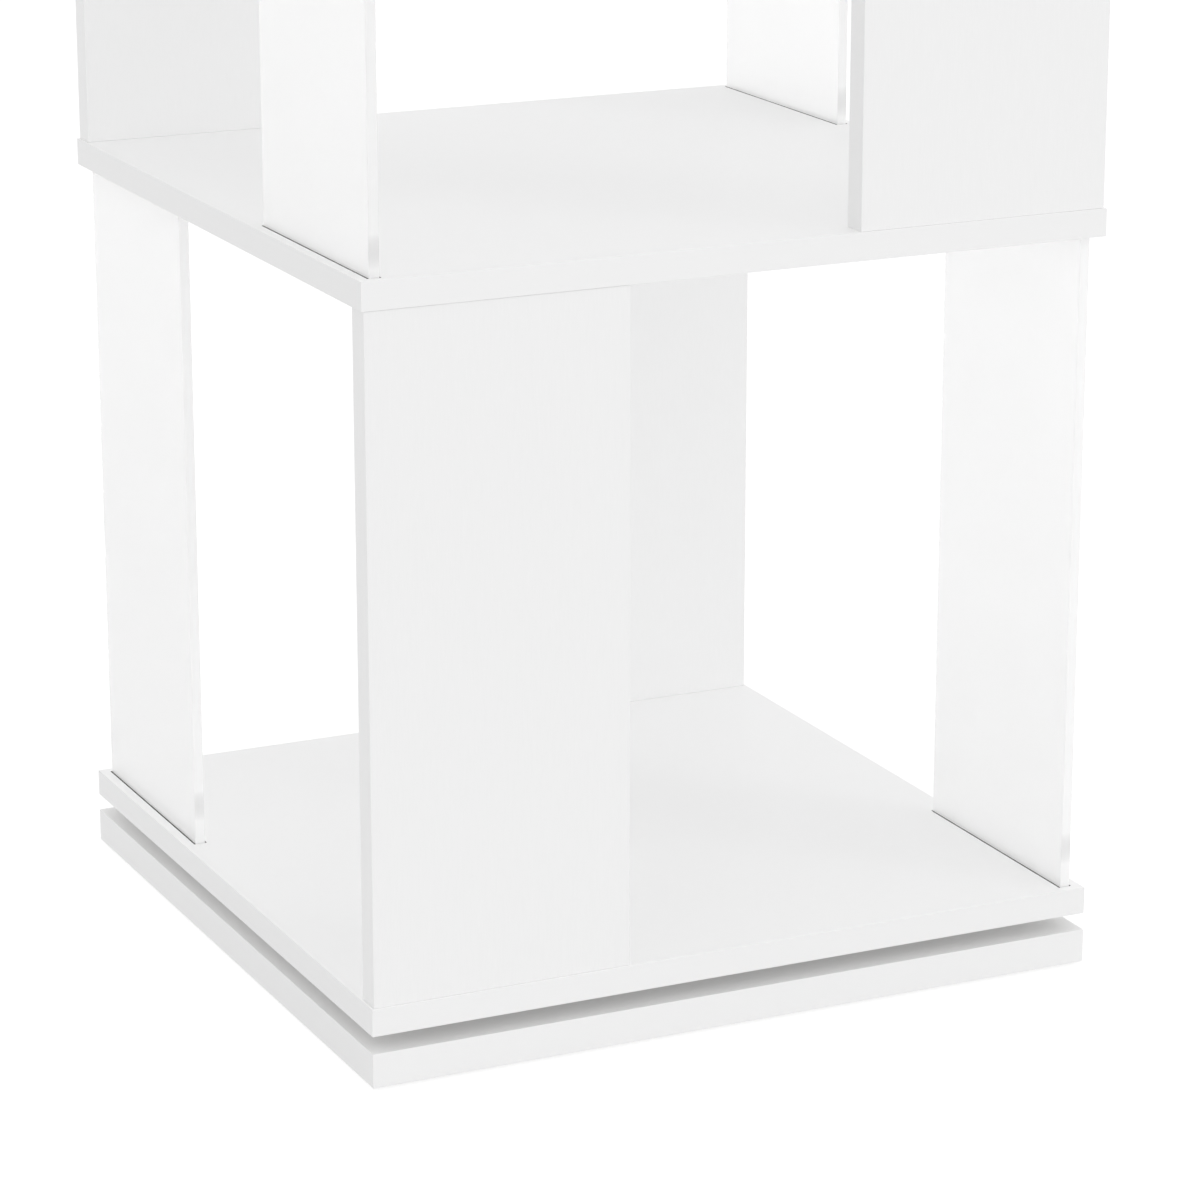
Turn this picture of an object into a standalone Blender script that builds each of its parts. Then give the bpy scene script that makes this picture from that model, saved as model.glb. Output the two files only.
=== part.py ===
"""Revolving tower bookcase: a fixed square base, a ball-bearing swivel and a tower of four open tiers.

Each tier has four narrow uprights, one at each corner, set like the arms of a pinwheel. Two are white
boards and two are clear sheets, and every second tier is the mirror image of the one below it.
Units are metres, +Z is up, and the origin is on the floor under the middle of the base.
"""

import math

import bmesh
import bpy
from mathutils import Matrix, Vector

# Boards
BOARD_SIDE = 0.450
BOARD_THICKNESS = 0.016
BASE_THICKNESS = 0.020
BOARD_ARRIS = 0.0007

# Tiers
TIER_COUNT = 4
TIER_CLEAR_HEIGHT = 0.387

# White uprights
PANEL_WIDTH = 0.154
PANEL_THICKNESS = 0.016
PANEL_FACE_INSET = 0.001
PANEL_END_INSET = 0.0015
PANEL_ARRIS = 0.0005

# Clear uprights and the grooves that hold them
CLEAR_WIDTH = 0.151
CLEAR_THICKNESS = 0.006
CLEAR_FACE_INSET = 0.007
CLEAR_END_INSET = 0.006
CLEAR_ARRIS = 0.0003
GROOVE_DEPTH = 0.006
GROOVE_SIDE_GAP = 0.0010

# Dowels, glued into the ends of the white uprights, that stand in holes in the boards
DOWEL_DIAMETER = 0.008
DOWEL_IN_BOARD = 0.010
DOWEL_IN_PANEL = 0.020
DOWEL_FROM_PANEL_EDGE = 0.030
DOWEL_CHAMFER = 0.001
DOWEL_SIDES = 8

# Swivel bearing
RACE_RADIUS = 0.124
RING_GAP = 0.003
RING_WIDTH = 0.0245
RING_STEP = 0.0012
RING_CHAMFER = 0.0008
RACE_LAND = 0.0006
BALL_DIAMETER = 0.006
BALL_COUNT = 20
BALL_SIDES = 10
BALL_RINGS = 6
BALL_CLEARANCE = 0.0003
CAGE_SIDE_GAP = 0.0004
CAGE_END_GAP = 0.0006
POCKET_SIDES = 10
RING_SEGMENTS = 60
RACE_ARC_STEPS = 5

# Screws of the bearing's rings
SCREW_COUNT = 4
SCREW_SHANK_DIAMETER = 0.004
SCREW_HEAD_DIAMETER = 0.0076
SCREW_GRIP = 0.010
SCREW_TIP = 0.002
SCREW_SIDES = 8
ACCESS_HOLE_DIAMETER = 0.014
ACCESS_HOLE_SIDES = 16

# Floor glides
GLIDE_STAND = 0.002
GLIDE_DIAMETER = 0.024
GLIDE_TAPER = 0.0015
GLIDE_STEM_DIAMETER = 0.006
GLIDE_STEM_LENGTH = 0.010
GLIDE_FROM_EDGE = 0.040
GLIDE_SIDES = 16

# Points closer than this are one point where a turned shape closes on itself
WELD_DISTANCE = 1e-7
# Edges steeper than this stay sharp on round pieces
SHARP_ANGLE = math.radians(35)
# Gap left between two faces that touch on the real bookcase
SEAT_GAP = 0.0003
# How far a cutter reaches past the face that it cuts
CUTTER_OVERRUN = 0.002

# Bearing sizes that follow from the balls
GROOVE_RADIUS = BALL_DIAMETER / 2 + BALL_CLEARANCE
GROOVE_HALF_HEIGHT = math.sqrt(GROOVE_RADIUS**2 - (RING_GAP / 2) ** 2)
RING_THICKNESS = 2 * (GROOVE_HALF_HEIGHT + RACE_LAND) + RING_STEP
BEARING_HEIGHT = RING_THICKNESS + RING_STEP
OUTER_SCREW_RADIUS = RACE_RADIUS + RING_GAP / 2 + RING_WIDTH / 2
INNER_SCREW_RADIUS = RACE_RADIUS - RING_GAP / 2 - RING_WIDTH / 2

# Heights above the floor
BASE_BOTTOM = GLIDE_STAND
BASE_TOP = BASE_BOTTOM + BASE_THICKNESS
BEARING_BOTTOM = BASE_TOP + SEAT_GAP
DECK_BOTTOM = BEARING_BOTTOM + BEARING_HEIGHT + SEAT_GAP
TIER_PITCH = TIER_CLEAR_HEIGHT + BOARD_THICKNESS

# Quarter turns of the four uprights of a tier, and which of them are white
FRONT, RIGHT, BACK, LEFT = range(4)
WHITE_SIDES = (FRONT, BACK)
CLEAR_SIDES = (RIGHT, LEFT)
SIDE_NAMES = ("front", "right", "back", "left")
MIRRORED_SIDE_NAMES = ("front", "left", "back", "right")


def clear_scene():
    """Removes every object that the file holds."""
    for old in list(bpy.data.objects):
        bpy.data.objects.remove(old, do_unlink=True)


def make_material(name, colour, roughness, metallic=0.0, alpha=1.0):
    """A Principled material of one colour."""
    material = bpy.data.materials.new(name)
    material.use_nodes = True
    shader = material.node_tree.nodes["Principled BSDF"]
    shader.inputs["Base Color"].default_value = (*colour, 1.0)
    shader.inputs["Roughness"].default_value = roughness
    shader.inputs["Metallic"].default_value = metallic
    shader.inputs["Alpha"].default_value = alpha
    material.diffuse_color = (*colour, alpha)
    return material


def make_axis(name):
    """An empty on the vertical axis of the bookcase, which carries the pieces that turn together."""
    axis = bpy.data.objects.new(name, None)
    bpy.context.scene.collection.objects.link(axis)
    return axis


def finish_object(name, shape, material=None, parent=None, location=(0, 0, 0), turn=0.0, smooth=False):
    """Turns a bmesh into a named object, with its place given by its location and its turn about Z."""
    mesh = bpy.data.meshes.new(name)
    shape.to_mesh(mesh)
    shape.free()
    if smooth:
        mesh.shade_smooth()
        mesh.set_sharp_from_angle(angle=SHARP_ANGLE)
    made = bpy.data.objects.new(name, mesh)
    bpy.context.scene.collection.objects.link(made)
    made.location = location
    made.rotation_euler.z = turn
    if material is not None:
        mesh.materials.append(material)
    if parent is not None:
        made.parent = parent
    return made


def box(size, centre=(0, 0, 0), arris=0.0):
    """A rectangular block with its edges chamfered by arris."""
    shape = bmesh.new()
    bmesh.ops.create_cube(shape, size=1.0)
    bmesh.ops.scale(shape, vec=size, verts=shape.verts)
    if arris > 0:
        bmesh.ops.bevel(shape, geom=shape.edges[:], offset=arris, segments=1, affect="EDGES")
    bmesh.ops.translate(shape, vec=centre, verts=shape.verts)
    return shape


def turned(profile, sides):
    """A solid turned about Z from (radius, height) points; a profile off the axis makes a ring."""
    shape = bmesh.new()
    points = [shape.verts.new((radius, 0, height)) for radius, height in profile]
    pairs = list(zip(points, points[1:]))
    if min(radius for radius, _ in profile) > 0:
        pairs.append((points[-1], points[0]))
    edges = [shape.edges.new(pair) for pair in pairs]
    bmesh.ops.spin(
        shape,
        geom=points + edges,
        cent=(0, 0, 0),
        axis=(0, 0, 1),
        angle=2 * math.pi,
        steps=sides,
        use_merge=True,
    )
    bmesh.ops.remove_doubles(shape, verts=shape.verts, dist=WELD_DISTANCE)
    bmesh.ops.recalc_face_normals(shape, faces=shape.faces)
    return shape


def cylinder(radius, bottom, top, sides):
    """A plain cylinder about Z."""
    return turned([(0, top), (radius, top), (radius, bottom), (0, bottom)], sides)


def copies(make_shape, places):
    """One bmesh that holds a copy of the shape at each place."""
    group = bmesh.new()
    for place in places:
        shape = make_shape()
        shape.transform(place)
        join(group, shape)
    return group


def join(group, shape):
    """Adds a shape to a group and frees it."""
    mesh = bpy.data.meshes.new("scratch")
    shape.to_mesh(mesh)
    shape.free()
    group.from_mesh(mesh)
    bpy.data.meshes.remove(mesh)


def combine(target, operation, shapes):
    """Cuts all the shapes out of the target, or joins them to it, with one Boolean."""
    group = bmesh.new()
    for shape in shapes:
        join(group, shape)
    helper = finish_object(
        f"{target.name}_{operation.lower()}",
        group,
        parent=target.parent,
        location=target.location,
        turn=target.rotation_euler.z,
    )
    helper.hide_render = True
    helper.display_type = "WIRE"
    modifier = target.modifiers.new(operation.lower(), "BOOLEAN")
    modifier.operation = operation
    modifier.solver = "EXACT"
    modifier.object = helper


def cut(target, shapes):
    combine(target, "DIFFERENCE", shapes)


def on_circle(radius, count, height=0.0):
    """Places spread evenly round the vertical axis, each turned to face outwards."""
    step = 2 * math.pi / count
    return [
        Matrix.Rotation(index * step, 4, "Z") @ Matrix.Translation((radius, 0, height))
        for index in range(count)
    ]


def finish_copies(name, shape, places, material, parent=None, height=0.0):
    """Numbered objects that share one mesh, one at each place."""
    first = finish_object(f"{name}_1", shape, material, parent, smooth=True)
    objects = [first]
    for number in range(2, len(places) + 1):
        copy = bpy.data.objects.new(f"{name}_{number}", first.data)
        bpy.context.scene.collection.objects.link(copy)
        copy.parent = parent
        objects.append(copy)
    for made, place in zip(objects, places):
        made.location = place.translation + Vector((0, 0, height))
        made.rotation_euler.z = place.to_euler().z


def board_bottom(level):
    """Height of the underside of the deck (level 0), of a shelf or of the top board."""
    return DECK_BOTTOM + level * TIER_PITCH


def tier_is_mirrored(tier):
    """Tiers count from 1 at the bottom, and every second one is mirrored."""
    return tier % 2 == 0


def upright_place(side, mirrored, width, thickness, face_inset, end_inset):
    """The middle of an upright in plan, and its turn about Z."""
    from_middle = BOARD_SIDE / 2
    middle = Vector((end_inset + width / 2 - from_middle, face_inset + thickness / 2 - from_middle, 0))
    middle.rotate(Matrix.Rotation(side * math.pi / 2, 3, "Z"))
    if mirrored:
        middle.x = -middle.x
    return middle, side * math.pi / 2


def white_place(side, mirrored):
    return upright_place(side, mirrored, PANEL_WIDTH, PANEL_THICKNESS, PANEL_FACE_INSET, PANEL_END_INSET)


def clear_place(side, mirrored):
    return upright_place(side, mirrored, CLEAR_WIDTH, CLEAR_THICKNESS, CLEAR_FACE_INSET, CLEAR_END_INSET)


def dowel_offsets():
    """Where the two dowels of a white upright stand along its width, from its middle."""
    reach = PANEL_WIDTH / 2 - DOWEL_FROM_PANEL_EDGE
    return (-reach, reach)


def dowel_places(mirrored):
    """The four dowels at one end of a tier's white uprights, in plan."""
    places = []
    for side in WHITE_SIDES:
        middle, turn = white_place(side, mirrored)
        frame = Matrix.Translation(middle) @ Matrix.Rotation(turn, 4, "Z")
        places += [frame @ Matrix.Translation((offset, 0, 0)) for offset in dowel_offsets()]
    return places


def dowel(bottom, top):
    """A dowel with chamfered ends."""
    radius = DOWEL_DIAMETER / 2
    neck = radius - DOWEL_CHAMFER
    profile = [
        (0, top),
        (neck, top),
        (radius, top - DOWEL_CHAMFER),
        (radius, bottom + DOWEL_CHAMFER),
        (neck, bottom),
        (0, bottom),
    ]
    return turned(profile, DOWEL_SIDES)


def dowel_hole(bottom, top):
    return cylinder(DOWEL_DIAMETER / 2 + SEAT_GAP, bottom, top, DOWEL_SIDES)


def groove_cutters(mirrored, bottom, top):
    """The grooves of a tier's two clear uprights."""
    size = (CLEAR_WIDTH + 2 * SEAT_GAP, CLEAR_THICKNESS + 2 * GROOVE_SIDE_GAP, top - bottom)
    cutters = []
    for side in CLEAR_SIDES:
        middle, turn = clear_place(side, mirrored)
        groove = box(size, centre=(0, 0, (top + bottom) / 2))
        groove.transform(Matrix.Translation(middle) @ Matrix.Rotation(turn, 4, "Z"))
        cutters.append(groove)
    return cutters


def seats_on_top(tier):
    """Cutters in a board's upper face for the feet of the tier that stands on it."""
    mirrored = tier_is_mirrored(tier)
    above = BOARD_THICKNESS + CUTTER_OVERRUN
    hole_bottom = BOARD_THICKNESS - DOWEL_IN_BOARD - SEAT_GAP
    holes = copies(lambda: dowel_hole(hole_bottom, above), dowel_places(mirrored))
    return [holes, *groove_cutters(mirrored, BOARD_THICKNESS - GROOVE_DEPTH, above)]


def seats_below(tier):
    """Cutters in a board's lower face for the heads of the tier under it."""
    mirrored = tier_is_mirrored(tier)
    holes = copies(lambda: dowel_hole(-CUTTER_OVERRUN, DOWEL_IN_BOARD + SEAT_GAP), dowel_places(mirrored))
    return [holes, *groove_cutters(mirrored, -CUTTER_OVERRUN, GROOVE_DEPTH)]


def screw(head_up=True):
    """A countersunk screw with the face of its head at height 0, pointing down unless turned over."""
    shank = SCREW_SHANK_DIAMETER / 2
    head = SCREW_HEAD_DIAMETER / 2
    end = -(RING_THICKNESS + SCREW_GRIP)
    profile = [(0, 0), (head, 0), (shank, shank - head), (shank, end + SCREW_TIP), (0, end)]
    if not head_up:
        profile = [(radius, -height) for radius, height in reversed(profile)]
    return turned(profile, SCREW_SIDES)


def screw_seat(head_up=True):
    """The countersunk clearance hole that the screw passes through a ring."""
    shank = SCREW_SHANK_DIAMETER / 2 + SEAT_GAP
    head = SCREW_HEAD_DIAMETER / 2 + SEAT_GAP
    above = CUTTER_OVERRUN
    below = -(RING_THICKNESS + CUTTER_OVERRUN)
    profile = [(0, above), (head, above), (head, 0), (shank, shank - head), (shank, below), (0, below)]
    if not head_up:
        profile = [(radius, -height) for radius, height in reversed(profile)]
    return turned(profile, SCREW_SIDES)


def pilot_hole(bottom, top):
    return cylinder(SCREW_SHANK_DIAMETER / 2 + SEAT_GAP, bottom, top, SCREW_SIDES)


def glide_places():
    """The four glides, as far from the edges of the base on every side."""
    reach = BOARD_SIDE / 2 - GLIDE_FROM_EDGE
    return [Matrix.Translation((x, y, 0)) for x in (-reach, reach) for y in (-reach, reach)]


def glide():
    """A moulded glide: a tapered foot, with a stem that is pressed into the base."""
    foot = GLIDE_DIAMETER / 2
    stem = GLIDE_STEM_DIAMETER / 2
    seat = GLIDE_STAND - SEAT_GAP
    top = GLIDE_STAND + GLIDE_STEM_LENGTH
    profile = [(0, top), (stem, top), (stem, seat), (foot, seat), (foot - GLIDE_TAPER, 0), (0, 0)]
    return turned(profile, GLIDE_SIDES)


def make_base(material):
    """The fixed base, drilled for the outer ring's screws, the glides and a screwdriver."""
    size = (BOARD_SIDE, BOARD_SIDE, BASE_THICKNESS)
    base = finish_object(
        "base_plate",
        box(size, centre=(0, 0, BASE_THICKNESS / 2), arris=BOARD_ARRIS),
        material,
        location=(0, 0, BASE_BOTTOM),
    )
    pilot_bottom = BASE_THICKNESS - SCREW_GRIP - SEAT_GAP
    above = BASE_THICKNESS + CUTTER_OVERRUN
    stem_radius = GLIDE_STEM_DIAMETER / 2 + SEAT_GAP
    stem_top = GLIDE_STEM_LENGTH + SEAT_GAP
    access = cylinder(ACCESS_HOLE_DIAMETER / 2, -CUTTER_OVERRUN, above, ACCESS_HOLE_SIDES)
    access.transform(Matrix.Translation((INNER_SCREW_RADIUS, 0, 0)))
    holes = [
        copies(lambda: pilot_hole(pilot_bottom, above), on_circle(OUTER_SCREW_RADIUS, SCREW_COUNT)),
        copies(lambda: cylinder(stem_radius, -CUTTER_OVERRUN, stem_top, GLIDE_SIDES), glide_places()),
        access,
    ]
    cut(base, holes)


def make_glides(material):
    finish_copies("floor_glide", glide(), glide_places(), material)


def ring_profile(wall_sign, bottom):
    """Section of a bearing ring: a flat flange whose wall beside the balls is hollowed into a race."""
    middle_height = BEARING_HEIGHT / 2
    wall = RACE_RADIUS + wall_sign * RING_GAP / 2
    rim = wall + wall_sign * RING_WIDTH
    top = bottom + RING_THICKNESS
    opening = math.asin(GROOVE_HALF_HEIGHT / GROOVE_RADIUS)
    race = []
    for index in range(RACE_ARC_STEPS + 1):
        angle = opening - 2 * opening * index / RACE_ARC_STEPS
        radius = RACE_RADIUS + wall_sign * GROOVE_RADIUS * math.cos(angle)
        race.append((radius, middle_height + GROOVE_RADIUS * math.sin(angle)))
    edge = rim - wall_sign * RING_CHAMFER
    flange = [(edge, bottom), (rim, bottom + RING_CHAMFER), (rim, top - RING_CHAMFER), (edge, top)]
    return [(wall, top), *race, (wall, bottom), *flange]


def make_outer_ring(material):
    """The ring that is screwed to the base, with its screw heads on top."""
    ring = finish_object(
        "bearing_outer_ring",
        turned(ring_profile(1, 0.0), RING_SEGMENTS),
        material,
        location=(0, 0, BEARING_BOTTOM),
        smooth=True,
    )
    seats = copies(screw_seat, on_circle(OUTER_SCREW_RADIUS, SCREW_COUNT, height=RING_THICKNESS))
    cut(ring, [seats])


def make_inner_ring(material, parent):
    """The ring that is screwed to the deck from below, one step higher than the outer one."""
    ring = finish_object(
        "bearing_inner_ring",
        turned(ring_profile(-1, RING_STEP), RING_SEGMENTS),
        material,
        parent,
        location=(0, 0, BEARING_BOTTOM),
        smooth=True,
    )
    places = on_circle(INNER_SCREW_RADIUS, SCREW_COUNT, height=RING_STEP)
    cut(ring, [copies(lambda: screw_seat(head_up=False), places)])


def make_ring_screws(material, tower):
    """Both sets of screws: down into the base, and up into the deck."""
    downwards = on_circle(OUTER_SCREW_RADIUS, SCREW_COUNT, height=RING_THICKNESS)
    finish_copies("outer_ring_screw", screw(), downwards, material, height=BEARING_BOTTOM)
    upwards = on_circle(INNER_SCREW_RADIUS, SCREW_COUNT, height=RING_STEP)
    finish_copies("inner_ring_screw", screw(head_up=False), upwards, material, tower, height=BEARING_BOTTOM)


def ball():
    """A ball as a turned half circle."""
    radius = BALL_DIAMETER / 2
    angles = [math.pi * index / BALL_RINGS for index in range(BALL_RINGS + 1)]
    profile = [(radius * math.sin(angle), radius * math.cos(angle)) for angle in angles]
    profile[0] = (0, radius)
    profile[-1] = (0, -radius)
    return turned(profile, BALL_SIDES)


def make_balls(material, cage_axis):
    places = on_circle(RACE_RADIUS, BALL_COUNT, height=BEARING_HEIGHT / 2)
    finish_copies("bearing_ball", ball(), places, material, cage_axis, height=BEARING_BOTTOM)


def make_cage(material, cage_axis):
    """The ring that keeps the balls apart, with a round pocket for each."""
    half_wall = RING_GAP / 2 - CAGE_SIDE_GAP
    inner, outer = RACE_RADIUS - half_wall, RACE_RADIUS + half_wall
    bottom, top = CAGE_END_GAP, BEARING_HEIGHT - CAGE_END_GAP
    cage = finish_object(
        "bearing_ball_cage",
        turned([(inner, top), (outer, top), (outer, bottom), (inner, bottom)], RING_SEGMENTS),
        material,
        cage_axis,
        location=(0, 0, BEARING_BOTTOM),
        smooth=True,
    )

    def pocket():
        reach = half_wall + CUTTER_OVERRUN
        shape = cylinder(GROOVE_RADIUS, -reach, reach, POCKET_SIDES)
        shape.transform(Matrix.Rotation(math.pi / 2, 4, "Y"))
        return shape

    places = on_circle(RACE_RADIUS, BALL_COUNT, height=BEARING_HEIGHT / 2)
    cut(cage, [copies(pocket, places)])


def make_board(name, level, material, tower):
    """The deck, a shelf or the top board, cut for the tiers below and above it."""
    size = (BOARD_SIDE, BOARD_SIDE, BOARD_THICKNESS)
    board = finish_object(
        name,
        box(size, centre=(0, 0, BOARD_THICKNESS / 2), arris=BOARD_ARRIS),
        material,
        tower,
        location=(0, 0, board_bottom(level)),
    )
    cutters = []
    if level == 0:
        places = on_circle(INNER_SCREW_RADIUS, SCREW_COUNT)
        cutters.append(copies(lambda: pilot_hole(-CUTTER_OVERRUN, SCREW_GRIP + SEAT_GAP), places))
    if level > 0:
        cutters += seats_below(level)
    if level < TIER_COUNT:
        cutters += seats_on_top(level + 1)
    cut(board, cutters)


def make_white_panel(tier, side, material, tower):
    """A white upright with its four glued dowels, two at the foot and two at the head."""
    mirrored = tier_is_mirrored(tier)
    middle, turn = white_place(side, mirrored)
    foot = board_bottom(tier - 1) + BOARD_THICKNESS + SEAT_GAP
    height = TIER_CLEAR_HEIGHT - 2 * SEAT_GAP
    names = MIRRORED_SIDE_NAMES if mirrored else SIDE_NAMES
    panel = finish_object(
        f"tier_{tier}_{names[side]}_panel",
        box((PANEL_WIDTH, PANEL_THICKNESS, height), centre=(0, 0, height / 2), arris=PANEL_ARRIS),
        material,
        tower,
        location=(middle.x, middle.y, foot),
        turn=turn,
    )
    foot_span = (-DOWEL_IN_BOARD, DOWEL_IN_PANEL)
    head_span = (height - DOWEL_IN_PANEL, height + DOWEL_IN_BOARD)
    dowels = []
    for offset in dowel_offsets():
        for bottom, top in (foot_span, head_span):
            stud = dowel(bottom, top)
            stud.transform(Matrix.Translation((offset, 0, 0)))
            dowels.append(stud)
    combine(panel, "UNION", dowels)


def make_clear_panel(tier, side, material, tower):
    """A clear upright, whose foot and head stand in the grooves of the boards."""
    mirrored = tier_is_mirrored(tier)
    middle, turn = clear_place(side, mirrored)
    foot = board_bottom(tier - 1) + BOARD_THICKNESS - GROOVE_DEPTH + SEAT_GAP
    height = TIER_CLEAR_HEIGHT + 2 * (GROOVE_DEPTH - SEAT_GAP)
    names = MIRRORED_SIDE_NAMES if mirrored else SIDE_NAMES
    finish_object(
        f"tier_{tier}_{names[side]}_clear_panel",
        box((CLEAR_WIDTH, CLEAR_THICKNESS, height), centre=(0, 0, height / 2), arris=CLEAR_ARRIS),
        material,
        tower,
        location=(middle.x, middle.y, foot),
        turn=turn,
    )


def board_name(level):
    """The name of the board at a level, where level 0 is the deck."""
    if level == 0:
        return "bottom_deck"
    return "top_board" if level == TIER_COUNT else f"shelf_{level}"


def main():
    clear_scene()
    white = make_material("white_melamine", (0.86, 0.86, 0.86), 0.45)
    clear = make_material("clear_acrylic", (0.97, 0.97, 0.97), 0.05, alpha=0.84)
    aluminium = make_material("aluminium", (0.72, 0.73, 0.74), 0.35, metallic=1.0)
    steel = make_material("zinc_plated_steel", (0.62, 0.62, 0.60), 0.30, metallic=1.0)
    nylon = make_material("cage_nylon", (0.80, 0.79, 0.74), 0.50)
    glide_plastic = make_material("glide_plastic", (0.16, 0.16, 0.16), 0.55)

    tower = make_axis("tower_axis")
    cage_axis = make_axis("cage_axis")

    make_base(white)
    make_glides(glide_plastic)
    make_outer_ring(aluminium)
    make_inner_ring(aluminium, tower)
    make_ring_screws(steel, tower)
    make_balls(steel, cage_axis)
    make_cage(nylon, cage_axis)
    for level in range(TIER_COUNT + 1):
        make_board(board_name(level), level, white, tower)
    for tier in range(1, TIER_COUNT + 1):
        for side in WHITE_SIDES:
            make_white_panel(tier, side, white, tower)
        for side in CLEAR_SIDES:
            make_clear_panel(tier, side, clear, tower)


main()
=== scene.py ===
"""Gives the revolving bookcase its finished pieces, its materials, its studio and its camera."""

import math

import bmesh
import bpy
from bpy.props import FloatProperty, FloatVectorProperty, PointerProperty
from mathutils import Matrix, Vector


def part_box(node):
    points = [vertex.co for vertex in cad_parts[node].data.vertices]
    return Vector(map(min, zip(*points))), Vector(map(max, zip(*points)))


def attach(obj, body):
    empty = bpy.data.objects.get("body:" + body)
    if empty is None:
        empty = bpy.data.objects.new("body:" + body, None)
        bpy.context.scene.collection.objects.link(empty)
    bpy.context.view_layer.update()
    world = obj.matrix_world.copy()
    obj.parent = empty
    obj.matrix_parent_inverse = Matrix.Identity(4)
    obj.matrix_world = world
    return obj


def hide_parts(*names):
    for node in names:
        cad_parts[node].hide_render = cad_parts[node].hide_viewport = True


bl_info = {
    "name": "Revolving bookcase",
    "version": (1, 0, 0),
    "blender": (4, 5, 0),
    "location": "3D View > Sidebar > Bookcase",
    "description": "Makes a white revolving bookcase with milky uprights on a ball-bearing swivel",
    "category": "Object",
}

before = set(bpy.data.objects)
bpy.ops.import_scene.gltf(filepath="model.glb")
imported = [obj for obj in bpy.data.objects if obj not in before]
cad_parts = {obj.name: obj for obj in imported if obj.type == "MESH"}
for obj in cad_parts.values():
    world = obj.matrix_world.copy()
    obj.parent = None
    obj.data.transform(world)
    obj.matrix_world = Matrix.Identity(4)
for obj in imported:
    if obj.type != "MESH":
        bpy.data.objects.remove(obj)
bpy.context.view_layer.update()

# Nodes of the frame
TIERS = (1, 2, 3, 4)
WHITE_UPRIGHTS = [f"tier_{tier}_{side}_panel" for tier in TIERS for side in ("front", "back")]
SHEETS = [f"tier_{tier}_{side}_clear_panel" for tier in TIERS for side in ("left", "right")]
BALLS = [f"bearing_ball_{number}" for number in range(1, 21)]
OUTER_SCREWS = [f"outer_ring_screw_{number}" for number in range(1, 5)]
INNER_SCREWS = [f"inner_ring_screw_{number}" for number in range(1, 5)]
GLIDES = [f"floor_glide_{number}" for number in range(1, 5)]

# Directions
ALONG_X = Vector((1, 0, 0))
ALONG_Z = Vector((0, 0, 1))
# How far a face's normal has to follow a direction to look along it, on a flat piece and on a turned one
FLAT_ALONG = 0.999
TURNED_ALONG = 0.9
# Faces that meet at less than this angle are shaded as one
SMOOTH_ANGLE = math.radians(35)
# How far a cutter reaches past the face that it cuts
OVERRUN = 0.002
# Two places closer than this are the same place
NEAR = 1e-5
# Segments that round an edge
ARRIS_SEGMENTS = 3
# Sides of holes and dowels, of screw heads, of floor glides and of the bearing's rings
HOLE_SIDES = 24
SCREW_SIDES = 32
GLIDE_SIDES = 48
RING_SIDES = 128
# Segments round the groove of a race
RACE_SEGMENTS = 28
# Radii of the holes for a ring's screw and for a glide's stem
SCREW_HOLE = 0.0023
STEM_HOLE = 0.0033

# Camera, fitted to the corners of the boards in the photograph
CAMERA_PLACE = (-1.0712, -2.2987, 0.9407)
CAMERA_AZIMUTH = math.radians(25.36)
CAMERA_PITCH = math.radians(16.46)
CAMERA_LENS = 132.65


class BookcaseSizes(bpy.types.PropertyGroup):
    """Sizes that the finished pieces add to the plain ones."""

    board_arris: FloatProperty(
        name="Board arris", description="Radius of the boards' edges",
        default=0.0003, unit="LENGTH",
    )
    upright_arris: FloatProperty(
        name="Upright arris", description="Radius of the white uprights' upright edges",
        default=0.0005, unit="LENGTH",
    )
    foot_gap: FloatProperty(
        name="Foot gap", description="Gap that shows under a white upright",
        default=0.0001, unit="LENGTH",
    )
    sheet_arris: FloatProperty(
        name="Sheet arris", description="Radius of the clear sheets' polished edges",
        default=0.0004, unit="LENGTH",
    )
    band_thickness: FloatProperty(
        name="Edge band", description="Thickness of the banding glued to the boards",
        default=0.0013, unit="LENGTH",
    )
    glue_line_width: FloatProperty(
        name="Glue line width", description="Width of the line between band and board",
        default=0.00020, unit="LENGTH",
    )
    glue_line_depth: FloatProperty(
        name="Glue line depth", description="Depth of the line between band and board",
        default=0.00003, unit="LENGTH",
    )
    groove_gap: FloatProperty(
        name="Groove gap", description="Gap between a clear sheet and its groove",
        default=0.0010, unit="LENGTH",
    )
    seat_gap: FloatProperty(
        name="Seat gap", description="Gap left between faces that touch",
        default=0.0003, unit="LENGTH",
    )
    dowel_diameter: FloatProperty(
        name="Dowel diameter", description="Diameter of the wooden dowels",
        default=0.008, unit="LENGTH",
    )
    dowel_inset: FloatProperty(
        name="Dowel inset", description="From an upright's edge to its dowels",
        default=0.030, unit="LENGTH",
    )
    dowel_in_upright: FloatProperty(
        name="Dowel in upright", description="How deep a dowel stands in an upright",
        default=0.020, unit="LENGTH",
    )
    dowel_in_board: FloatProperty(
        name="Dowel in board", description="How far a dowel stands out of an upright",
        default=0.010, unit="LENGTH",
    )
    dowel_flute: FloatProperty(
        name="Dowel flute", description="Depth of the glue flutes in a dowel",
        default=0.0003, unit="LENGTH",
    )
    ring_width: FloatProperty(
        name="Ring width", description="Width of each bearing ring",
        default=0.0245, unit="LENGTH",
    )
    ring_gap: FloatProperty(
        name="Ring gap", description="Gap between the two bearing rings",
        default=0.003, unit="LENGTH",
    )
    ball_play: FloatProperty(
        name="Ball play", description="Gap round a ball in its race and its pocket",
        default=0.0003, unit="LENGTH",
    )
    thread_pitch: FloatProperty(
        name="Thread pitch", description="From one turn of a screw's thread to the next",
        default=0.0012, unit="LENGTH",
    )
    access_hole: FloatProperty(
        name="Access hole", description="Diameter of the screwdriver's hole in the base",
        default=0.014, unit="LENGTH",
    )


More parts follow.
